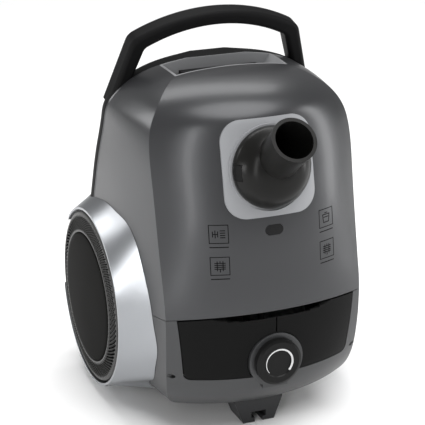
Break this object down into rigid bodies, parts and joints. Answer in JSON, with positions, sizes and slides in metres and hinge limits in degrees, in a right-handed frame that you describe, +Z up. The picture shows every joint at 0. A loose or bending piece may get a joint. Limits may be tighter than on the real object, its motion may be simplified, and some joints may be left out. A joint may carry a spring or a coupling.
{
  "type": "canister vacuum cleaner",
  "caption": "bagged canister vacuum cleaner parked on its rear end: hinged lid with swivel hose elbow, carry handle, two pedals, power knob, large fendered wheels and a caster",
  "frame": {"origin": "on the floor under the middle of the parked cleaner's bounding box", "axes": "+Z up as parked on its rear end, the lid and hose inlet face -Y, +X to the right seen from the front"},
  "size_m": [0.294, 0.3295, 0.4286],
  "materials": {
    "base_shell": "black satin",
    "lower_housing": "dark grey satin",
    "carry_handle": "black satin",
    "fender_left": "silver metallic",
    "fender_right": "silver metallic",
    "parking_bracket": "dark grey",
    "bag_deck": "grey moulded",
    "motor_filter": "fleece",
    "motor_seal_front": "soft",
    "fan_cover": "grey moulded",
    "motor_can": "plain",
    "stator_core": "plain",
    "carbon_brushes": "carbon",
    "motor_mount_rear": "soft",
    "circuit_board": "green board",
    "potentiometer": "black",
    "power_switch": "black",
    "reel_bracket": "grey moulded",
    "reel_spring": "grey moulded",
    "cord_outlet_bush": "black satin",
    "exhaust_filter": "fleece",
    "exhaust_grille": "black satin",
    "stub_axles": "plain",
    "rear_feet": "soft",
    "housing_screws": "plain",
    "pedal_pivot_rod": "plain",
    "pedal_springs": "plain",
    "caster_socket": "black satin",
    "bag_holder": "blue grey",
    "dust_bag": "fleece",
    "lid": "dark grey metallic gloss",
    "inlet_bezel": "silver metallic",
    "inlet_collar": "black satin",
    "indicator_window": "black gloss",
    "lid_seal": "soft",
    "latch_recess": "dark grey",
    "lid_hinge_pins": "plain",
    "latch_spring": "plain",
    "indicator_flag": "signal red",
    "lid_latch": "black satin",
    "hose_elbow": "black satin",
    "clip_left": "black satin",
    "clip_right": "black satin",
    "pedal_power": "black gloss",
    "pedal_rewind": "black gloss",
    "switch_plunger": "white",
    "brake_lever": "black",
    "brake_roller": "soft",
    "power_knob": "black gloss",
    "wheel_left": "black ribbed",
    "hubcap_left": "black gloss",
    "wheel_right": "black ribbed",
    "hubcap_right": "black gloss",
    "rotor_shaft": "plain",
    "armature": "copper windings",
    "fan_impeller": "cast",
    "reel_drum": "grey moulded",
    "caster_fork": "black satin",
    "caster_pin": "plain",
    "caster_wheel": "soft"
  },
  "bodies": {
    "base": {"base_shell": "base_shell", "lower_housing": "lower_housing", "carry_handle": "carry_handle", "fender_left": "fender_left", "fender_right": "fender_right", "parking_bracket": "parking_bracket", "bag_deck": "bag_deck", "motor_filter": "motor_filter", "motor_seal_front": "motor_seal_front", "fan_cover": "fan_cover", "motor_can": "motor_can", "stator_core": "stator_core", "carbon_brushes": "carbon_brushes", "motor_mount_rear": "motor_mount_rear", "circuit_board": "circuit_board", "potentiometer": "potentiometer", "power_switch": "power_switch", "reel_bracket": "reel_bracket", "reel_spring": "reel_spring", "cord_outlet_bush": "cord_outlet_bush", "exhaust_filter": "exhaust_filter", "exhaust_grille": "exhaust_grille", "stub_axles": "stub_axles", "rear_feet": "rear_feet", "housing_screws": "housing_screws", "pedal_pivot_rod": "pedal_pivot_rod", "pedal_springs": "pedal_springs", "caster_socket": "caster_socket", "bag_holder": "bag_holder", "dust_bag": "dust_bag"},
    "lid_body": {"lid": "lid", "inlet_bezel": "inlet_bezel", "inlet_collar": "inlet_collar", "indicator_window": "indicator_window", "lid_seal": "lid_seal", "latch_recess": "latch_recess", "lid_hinge_pins": "lid_hinge_pins", "latch_spring": "latch_spring"},
    "flag_body": {"indicator_flag": "indicator_flag"},
    "latch_body": {"lid_latch": "lid_latch"},
    "elbow_body": {"hose_elbow": "hose_elbow"},
    "clip_left_body": {"clip_left": "clip_left"},
    "clip_right_body": {"clip_right": "clip_right"},
    "pedal_power_body": {"pedal_power": "pedal_power"},
    "pedal_rewind_body": {"pedal_rewind": "pedal_rewind"},
    "plunger_body": {"switch_plunger": "switch_plunger"},
    "brake_body": {"brake_lever": "brake_lever"},
    "roller_body": {"brake_roller": "brake_roller"},
    "knob_body": {"power_knob": "power_knob"},
    "wheel_left_body": {"wheel_left": "wheel_left", "hubcap_left": "hubcap_left"},
    "wheel_right_body": {"wheel_right": "wheel_right", "hubcap_right": "hubcap_right"},
    "rotor_body": {"rotor_shaft": "rotor_shaft", "armature": "armature", "fan_impeller": "fan_impeller"},
    "reel_body": {"reel_drum": "reel_drum"},
    "caster_body": {"caster_fork": "caster_fork", "caster_pin": "caster_pin"},
    "caster_wheel_body": {"caster_wheel": "caster_wheel"}
  },
  "joints": [
    {"name": "lid_hinge", "type": "hinge", "parent": "base", "child": "lid_body", "pos_m": [0, -0.106, 0.1505], "axis": [1, 0, 0], "range_deg": [0, 75]},
    {"name": "latch_pull", "type": "hinge", "parent": "lid_body", "child": "latch_body", "pos_m": [0, 0.0413, 0.356], "axis": [1, 0, 0], "range_deg": [0, 14], "stiffness_Nm_per_rad": 0.3, "springref_deg": -2.86},
    {"name": "elbow_swivel", "type": "hinge", "parent": "lid_body", "child": "elbow_body", "pos_m": [0, -0.09494, 0.2955], "axis": [0, -0.9877, 0.1564], "continuous": true},
    {"name": "clip_left_press", "type": "slide", "parent": "elbow_body", "child": "clip_left_body", "axis": [1, 0, 0], "range_m": [0, 0.002], "stiffness_N_per_m": 300, "springref_m": -0.001},
    {"name": "clip_right_press", "type": "slide", "parent": "elbow_body", "child": "clip_right_body", "axis": [-1, 0, 0], "range_m": [0, 0.002], "stiffness_N_per_m": 300, "springref_m": -0.001},
    {"name": "indicator_rise", "type": "slide", "parent": "lid_body", "child": "flag_body", "axis": [0, 0, 1], "range_m": [0, 0.008]},
    {"name": "power_pedal_press", "type": "hinge", "parent": "base", "child": "pedal_power_body", "pos_m": [0, -0.084, 0.078], "axis": [-1, 0, 0], "range_deg": [0, 3], "stiffness_Nm_per_rad": 6, "springref_deg": -1.72},
    {"name": "rewind_pedal_press", "type": "hinge", "parent": "base", "child": "pedal_rewind_body", "pos_m": [0, -0.084, 0.078], "axis": [-1, 0, 0], "range_deg": [0, 3], "stiffness_Nm_per_rad": 6, "springref_deg": -1.72},
    {"name": "switch_push", "type": "slide", "parent": "base", "child": "plunger_body", "axis": [0, 1, 0], "range_m": [0, 0.0022]},
    {"name": "brake_turn", "type": "hinge", "parent": "base", "child": "brake_body", "pos_m": [0, -0.045, 0.075], "axis": [-1, 0, 0], "range_deg": [0, 3.2]},
    {"name": "brake_roller_spin", "type": "hinge", "parent": "brake_body", "child": "roller_body", "pos_m": [0.037, -0.01269, 0.05135], "axis": [1, 0, 0], "continuous": true},
    {"name": "knob_turn", "type": "hinge", "parent": "base", "child": "knob_body", "pos_m": [0, -0.11, 0.0922], "axis": [0, -1, 0], "range_deg": [-135, 135]},
    {"name": "wheel_left_spin", "type": "hinge", "parent": "base", "child": "wheel_left_body", "pos_m": [-0.13, 0.0697, 0.1116], "axis": [1, 0, 0], "continuous": true},
    {"name": "wheel_right_spin", "type": "hinge", "parent": "base", "child": "wheel_right_body", "pos_m": [0.13, 0.0697, 0.1116], "axis": [1, 0, 0], "continuous": true},
    {"name": "motor_spin", "type": "hinge", "parent": "base", "child": "rotor_body", "pos_m": [-0.038, 0.02, 0.07], "axis": [0, 0, 1], "continuous": true},
    {"name": "reel_spin", "type": "hinge", "parent": "base", "child": "reel_body", "pos_m": [0.059, 0.03, 0.076], "axis": [1, 0, 0], "continuous": true},
    {"name": "caster_swivel", "type": "hinge", "parent": "base", "child": "caster_body", "pos_m": [0, 0.09377, 0.3], "axis": [0, 0.9659, 0.2588], "continuous": true},
    {"name": "caster_roll", "type": "hinge", "parent": "caster_body", "child": "caster_wheel_body", "pos_m": [0, 0.10479, 0.29364], "axis": [1, 0, 0], "continuous": true}
  ],
  "couplings": [
    {"joint": "switch_push", "follows": "power_pedal_press", "m_per_rad": 0.04},
    {"joint": "brake_turn", "follows": "rewind_pedal_press", "ratio": 1}
  ]
}
